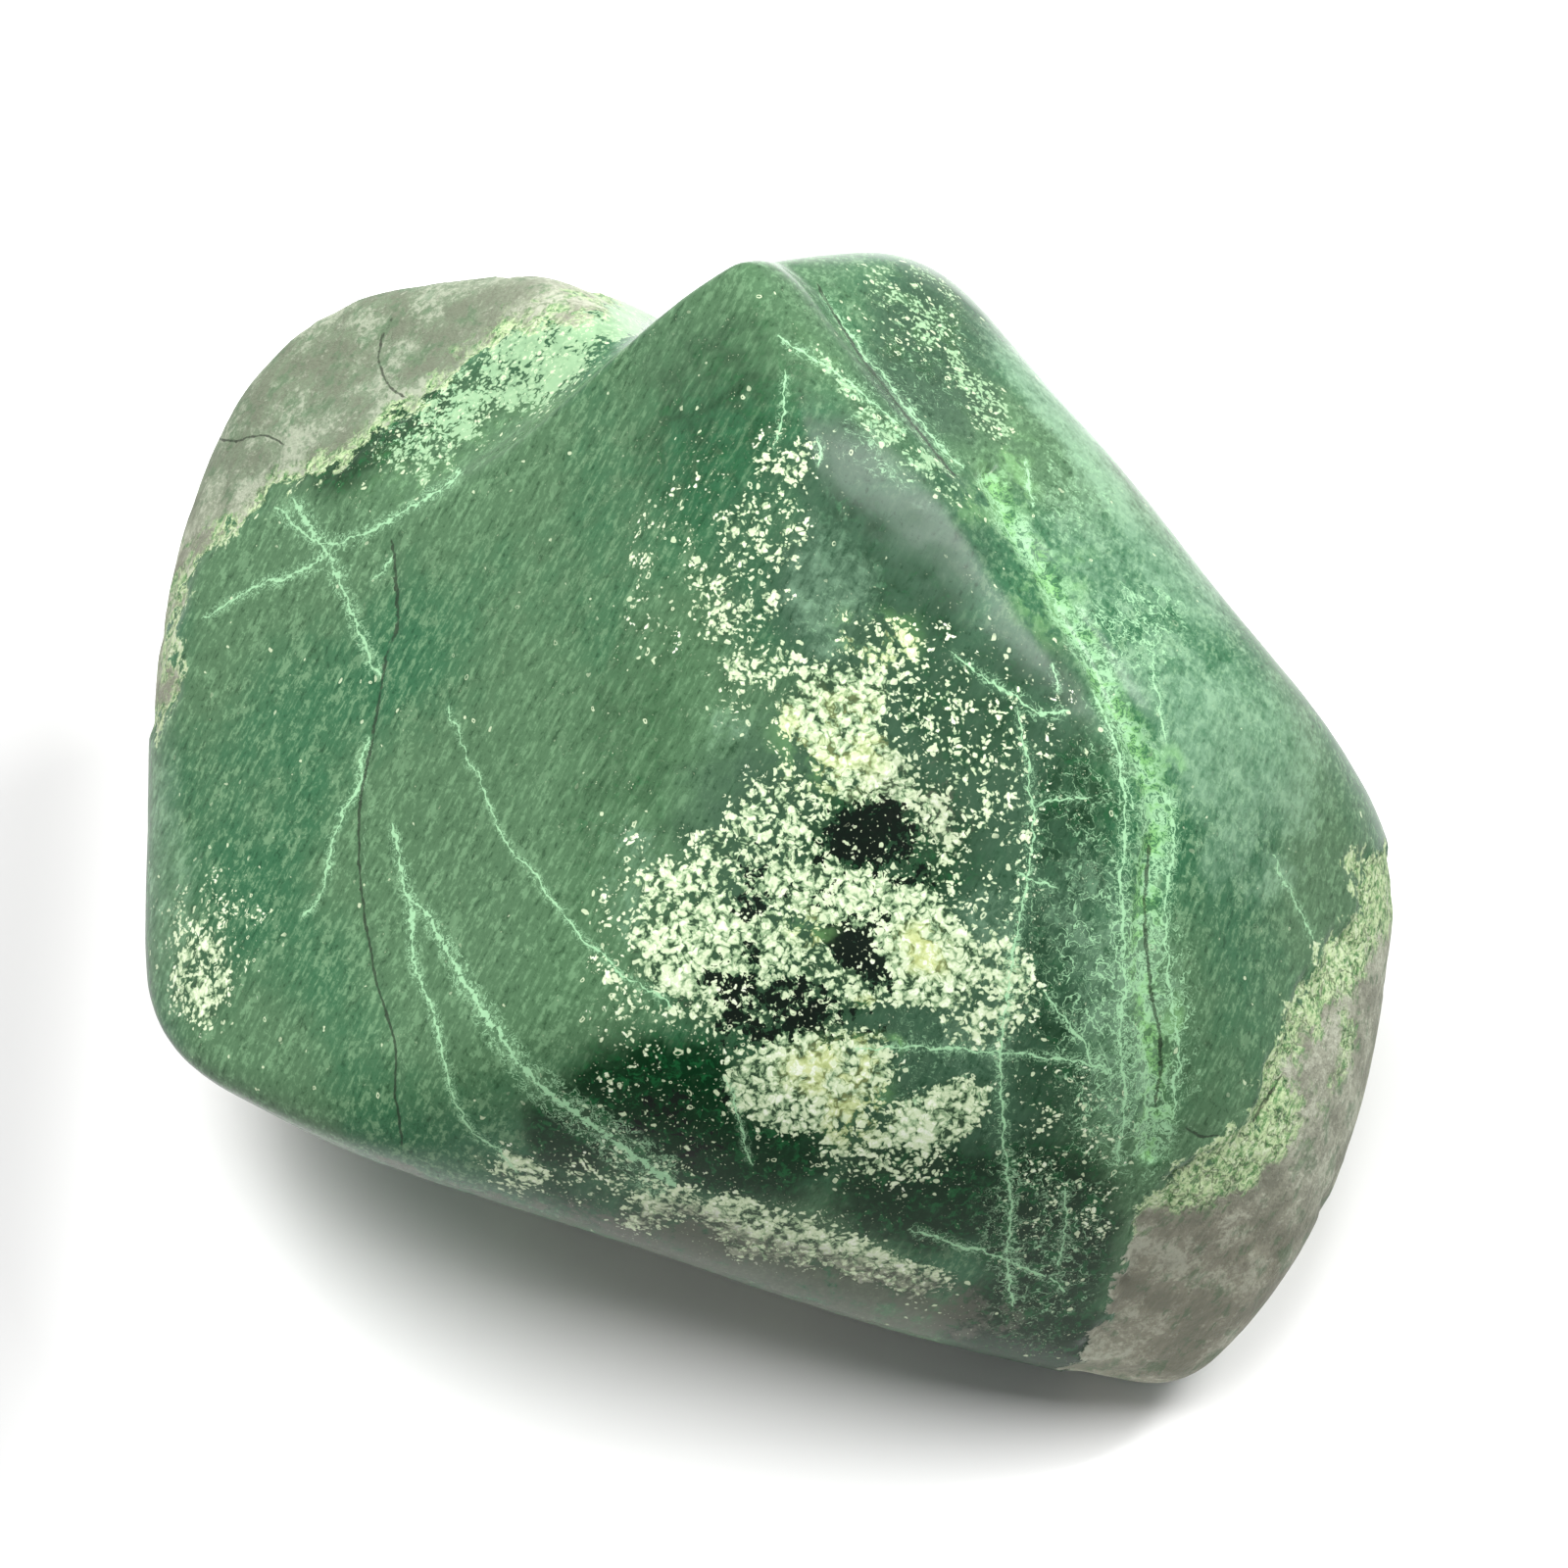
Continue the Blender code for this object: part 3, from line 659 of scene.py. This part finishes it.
# the cream there is greyed by the same stains and painted shade
stainedAndShaded = mark["stain"] * step(strands, 0.36, 0.54)
creamTone = blend(creamTone, colours["stain"], stainedAndShaded * cover["stainAndShadeOnCream"])
limeShare = most(mark["lime"], mark["bloom"] * 0.45) * step(rag, 0.42, 0.6)
body = blend(body, colours["limeVein"], limeShare * cover["limeUnder"])
body = blend(body, colours["creamDark"], step(creamHere, 0.25, 0.7) * cover["creamBed"])
body = blend(body, creamTone, creamShare)
body = blend(body, colours["cream"], most(pips * cover["pips"], dust * cover["dust"]))

# mint network of fine veins: the level lines of two of the noises
netShare = most(step(ridge, 0.019, 0.005), step(thread, 0.016, 0.003) * 0.8)
netShare = netShare * step(mark["net"] + (rag - 0.5) * 1.2 + (grain - 0.5) * 1.4, 0.35, 0.9)
body = blend(body, colours["mint"], netShare * cover["net"])

# single veins: a wavering line that thickens and thins, with finer strands beside it and a faint halo
veinShare = None
for layer in ("veinA", "veinB", "veinC"):
    width = mark[layer + "Width"]
    aside = abs(mark[layer] + waver)
    share = step(aside - width * (grain * 1.7 - 0.68), 0.07, 0.0) * step(grain + width, 0.48, 0.66)
    beside = step(aside - width * 1.5, 0.5, -0.3)
    share = most(share, beside * most(step(thread, 0.035, 0.008), step(grain, 0.60, 0.68)) * 0.7)
    share = most(share, step(aside - width, 0.4, -0.4) * 0.08) * step(width, 0.02, 0.12)
    veinShare = share if veinShare is None else most(veinShare, share)
body = blend(body, colours["mint"], veinShare * cover["veins"])

# broad braided seams
seamSpan = step(abs(mark["seam"] + waver * 1.4) - mark["seamWidth"] * (rag * 2.0 - 0.4), 1.1, -0.9)
seamShare = most(step(thread, 0.055, 0.015), step(ridge, 0.04, 0.012))
seamShare = most(seamShare, step(grain * 0.6 + strands * 0.4 - 0.69 + seamSpan * 0.18, 0.0, 0.04))
seamShare = most(seamShare * seamSpan, seamSpan * 0.15) * step(mark["seamWidth"], 0.05, 0.6)
seamTone = blend(colours["limeVein"], colours["mint"], step(rag, 0.42, 0.55))
body = blend(body, seamTone, seamShare * cover["seams"])

# the crust with its cream band
edge = mark["crust"] + (rag - 0.5) * 7.5 + (grain - 0.5) * 2.2
crustShare = step(edge + (strands - 0.5) * 3.0, -0.3, 0.3)
pastBand = step(edge - mark["band"] + (strands - 0.5) * 8.0, -1.4, 1.4)
# brown and sage: the crust's own brown on the right and the back, painted shade on the shelf
brownAndShadeShare = most(mark["brown"], step(mark["drift"], 0.0, 1.0) * mark["hidden"])
crustTone = blend(colours["crust"], colours["brown"], brownAndShadeShare)
crustTone = blend(crustTone, colours["sage"], mark["sage"] * cover["sage"])
darkMottle = step(mark["mottle"] + (fibre - 0.5) * 2.8, 0.4, -0.8)
darkLines = step(ridge, 0.012, 0.002) * step(mark["drift"], -0.3, 0.4)
crustTone = blend(crustTone, colours["crustDark"], darkMottle * cover["crustDark"])
crustTone = blend(crustTone, colours["crustDark"], darkLines * cover["crustLines"])
paleShare = step(mark["mottle"] * 0.8 + (grain - 0.5) * 3.4 + (strands - 0.5) * 2.0, -0.1, 0.9)
paleShare = paleShare * (0.65 - most(mark["brown"], mark["sage"]) * 0.2)
crustTone = blend(crustTone, colours["crustPale"], paleShare)
greenThrough = step(rag + (fibre - 0.5) * 0.5, 0.48, 0.34)
crustTone = blend(crustTone, colours["green"], greenThrough * cover["crustGreen"])
bandTone = blend(colours["bandGreen"], colours["band"], step(grain * 0.6 + fibre * 0.4, 0.40, 0.56))
bandTone = blend(bandTone, colours["cream"], step(grain * 0.6 + rag * 0.4, 0.46, 0.58) * beads)
bandTone = blend(bandTone, colours["green"], step(strands, 0.45, 0.36) * cover["bandGreen"])
bandTone = blend(bandTone, colours["deepGreen"], step(ridge, 0.03, 0.008) * cover["bandDark"])
body = blend(body, blend(bandTone, crustTone, pastBand), crustShare)

# long thin veins of the far sides
farShare = step(abs(mark["farVein"] + waver * 0.02), 0.016, 0.004) * mark["hidden"]
farShare = farShare * (1 - crustShare * 0.7)
body = blend(body, colours["mint"], farShare * cover["farVeins"])

# cracks
crackWidth = mark["crackWidth"]
crackShare = step(abs(mark["crack"] + waver * 0.3) - crackWidth * (grain * 1.6 - 0.55), 0.10, 0.0)
crackShare = crackShare * step(crackWidth, 0.02, 0.15) * step(rag, 0.30, 0.40)
body = blend(body, colours["crack"], crackShare * (0.3 + grain * 0.8))

# gloss: polish on the green, dull crust, cream grains in between
dull = most(crustShare, creamShare * gloss["cream"])
roughness = gloss["polish"] + dull * gloss["crust"] + grain * gloss["grain"]
coarse = step(mark["crust"], -0.3, 0.5) * gloss["crustBump"] + gloss["polishBump"]
height = noise(place, sizes["bump"], 3, 0.65) * coarse
normal = height.node("Bump", {}, {"Strength": gloss["bump"], "Distance": mm, "Height": height})
surface = start.node("BsdfPrincipled", {}, {
    "Base Color": body, "Roughness": roughness, "Normal": normal, "IOR": gloss["ior"],
    "Specular IOR Level": gloss["specular"]})
start.node("OutputMaterial", {}, {"Surface": surface})
boulderMesh.materials.append(stone)

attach(boulder, "root")
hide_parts("jade_boulder")
print("jade and crust finished")

# the floor's tone is painted darker, a painted shade, to both sides and ahead of the stone between these
# places in m, and the dome of light darkens around one heading between these angles in degrees
studio = {"floorSize": 6.0, "floorTone": (0.90, 0.90, 0.895), "floorDim": (0.3, 0.3, 0.3),
          "floorRoughness": 0.9, "floorSpecular": 0.1,
          "floorAside": (0.05, 0.085), "asideDim": 0.75, "floorAhead": (-0.075, -0.24), "aheadDim": 0.9,
          "skyBright": 1.05, "skyDark": 0.22, "darkAround": (0, 30), "darkWithin": (64, 84)}
floorCorners = np.array([(-1, -1, 0), (1, -1, 0), (1, 1, 0), (-1, 1, 0)]) * studio["floorSize"] / 2
floorMesh = meshFrom("floor", floorCorners, np.array([[0, 1, 2, 3]]))
floor = bpy.data.objects.new("floor", floorMesh)
bpy.context.scene.collection.objects.link(floor)
paper = bpy.data.materials.new("paper")
paper.use_nodes = True
paper.node_tree.nodes.clear()
sheet = Flow(paper.node_tree)
spot = sheet.node("TexCoord", output=3)
aside = sheet.node("SeparateXYZ", {}, {0: spot})
ahead = aside.other(1)
# painted shade: the floor's tone darkens to both sides and ahead of the stone
dim = most(step(abs(aside), *studio["floorAside"]) * studio["asideDim"],
           step(ahead, *studio["floorAhead"]) * studio["aheadDim"])
tone = blend((*studio["floorTone"], 1), (*studio["floorDim"], 1), dim)
finish = sheet.node("BsdfPrincipled", {}, {"Base Color": tone, "Roughness": studio["floorRoughness"],
                                           "Specular IOR Level": studio["floorSpecular"]})
sheet.node("OutputMaterial", {}, {"Surface": finish})
floorMesh.materials.append(paper)

world = bpy.data.worlds.new("studioWorld")
bpy.context.scene.world = world
world.use_nodes = True
world.node_tree.nodes.clear()
sky = Flow(world.node_tree)


def heading(azimuth, tilt):    # azimuth 0 in front and 90 at the right, both in degrees
    azimuth, tilt = np.radians(azimuth), np.radians(tilt)
    return Vector((np.cos(tilt) * np.sin(azimuth), -np.cos(tilt) * np.cos(azimuth), np.sin(tilt)))


# a pale dome with a dark opening above the front, so the polished front stays deep in tone
away = vector("DOT_PRODUCT", sky.node("TexCoord"), heading(*studio["darkAround"]), 1)
inner, outer = np.cos(np.radians(studio["darkWithin"])).tolist()
glow = studio["skyDark"] + (studio["skyBright"] - studio["skyDark"]) * step(away, inner, outer)
dome = sky.node("Background", {}, {"Color": (1, 1, 1, 1), "Strength": glow})
sky.node("OutputWorld", {}, {"Surface": dome})

# soft boxes: azimuth, elevation, distance m, width m, height m, power W
lamps = {
    "overhead": (258, 78, 1.4, 0.9, 0.9, 31.0),
    "ridgeBox": (117, 48, 1.2, 0.26, 0.5, 11.0),
}
for name, (azimuth, tilt, away, wide, high, power) in lamps.items():
    lamp = bpy.data.lights.new(name, "AREA")
    lamp.shape, lamp.size, lamp.size_y, lamp.energy = "RECTANGLE", wide, high, power
    toLamp = heading(azimuth, tilt)
    holder = bpy.data.objects.new(name, lamp)
    holder.visible_glossy = name != "overhead"    # it gives soft light and no mirror image of itself
    turned = toLamp.to_track_quat("Z", "Y").to_matrix().to_4x4()
    holder.matrix_world = Matrix.Translation(toLamp * away) @ turned
    bpy.context.scene.collection.objects.link(holder)

cameraData = bpy.data.cameras.new("camera")
cameraData.lens, cameraData.sensor_width = view["lens"], view["sensor"]
cameraData.clip_start = 0.01
camera = bpy.data.objects.new("camera", cameraData)
bpy.context.scene.collection.objects.link(camera)
pose = Matrix(viewAxes.T.tolist()).to_4x4()
pose.translation = Vector((heart + viewAxes[2] * view["distance"]) * mm)
camera.matrix_world = pose
bpy.context.scene.camera = camera
bpy.context.scene.view_settings.view_transform = "Standard"
print("studio set")
